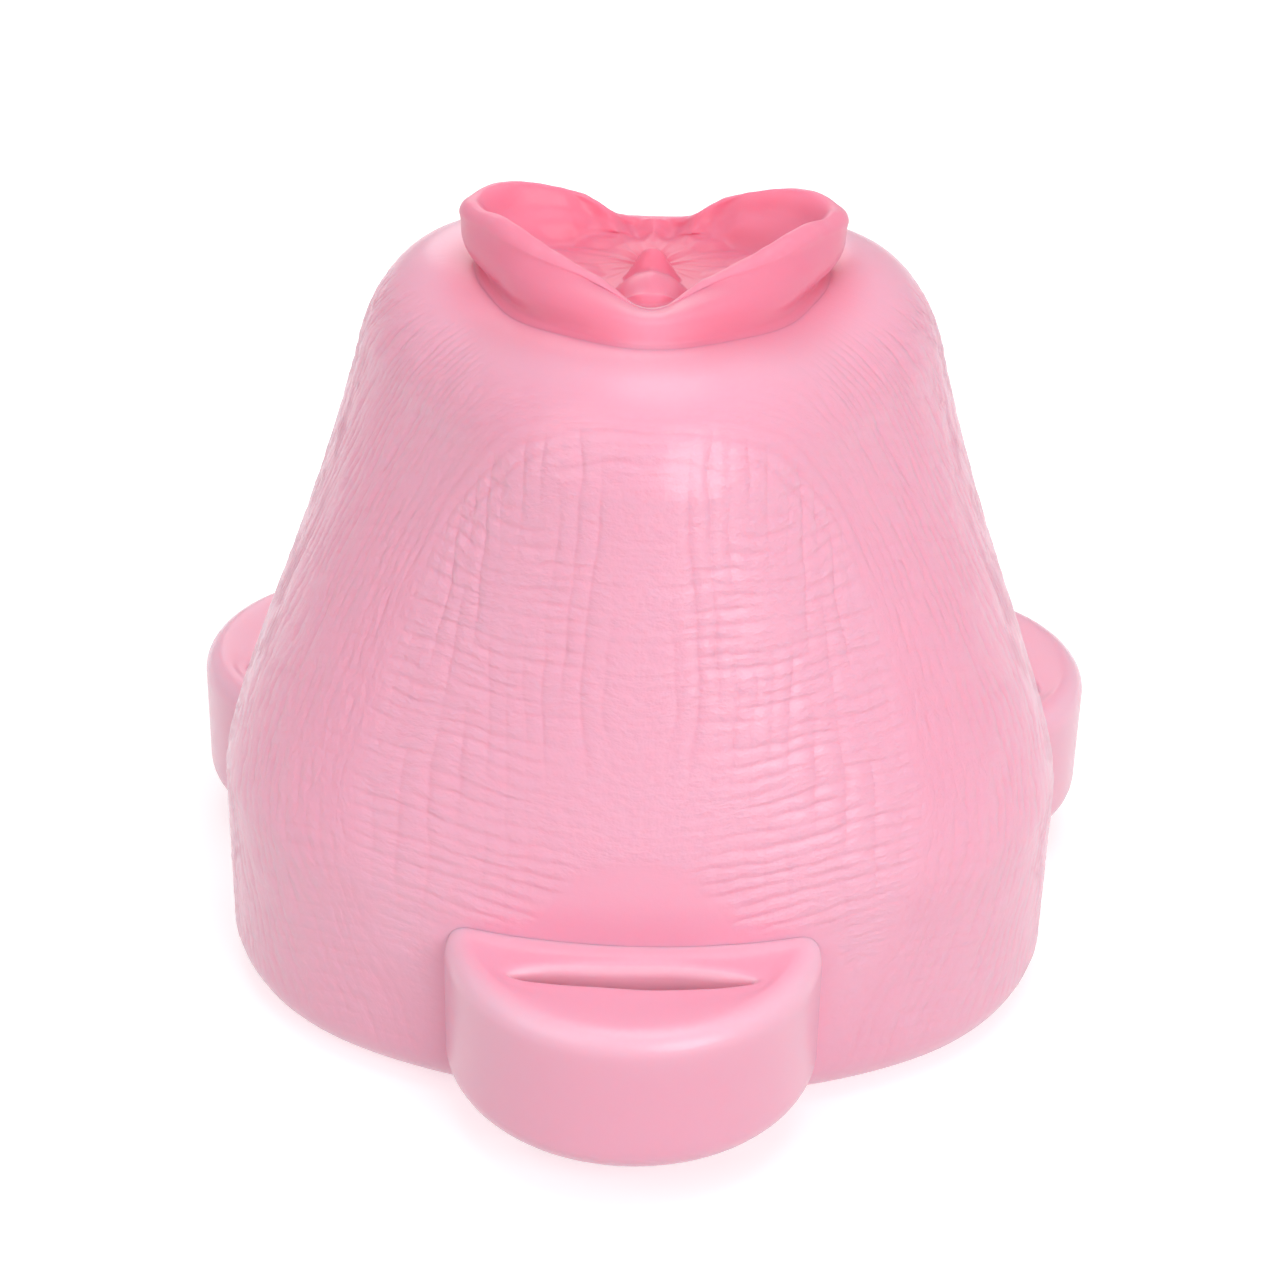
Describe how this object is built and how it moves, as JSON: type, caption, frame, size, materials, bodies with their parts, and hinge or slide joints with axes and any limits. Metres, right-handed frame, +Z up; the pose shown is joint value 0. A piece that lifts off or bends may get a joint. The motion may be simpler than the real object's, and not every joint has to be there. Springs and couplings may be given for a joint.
{
  "type": "soft silicone strap-on bell cup",
  "caption": "Soft pink bell-shaped silicone cup with a textured skin, open base, folded rim around a channel at its crown, and strap lugs around its skirt. Adult product.",
  "frame": {"origin": "centre of the open base, on the surface the cup stands on", "axes": "+Z up along the bell's axis and the channel; -Y towards the front lug; +X to the right seen from the front"},
  "size_m": [0.115, 0.1151, 0.0925],
  "materials": {
    "skin_silicone": "satin, translucent, fine creases",
    "rim_silicone": "satin, translucent, smooth",
    "lug_silicone": "satin, translucent, smooth"
  },
  "bodies": {
    "root": {"bell_cup": "skin_silicone", "folded_rim": "rim_silicone", "channel_sleeve": "rim_silicone", "strap_lug_front": "lug_silicone", "strap_lug_left": "lug_silicone", "strap_lug_right": "lug_silicone"}
  },
  "joints": []
}
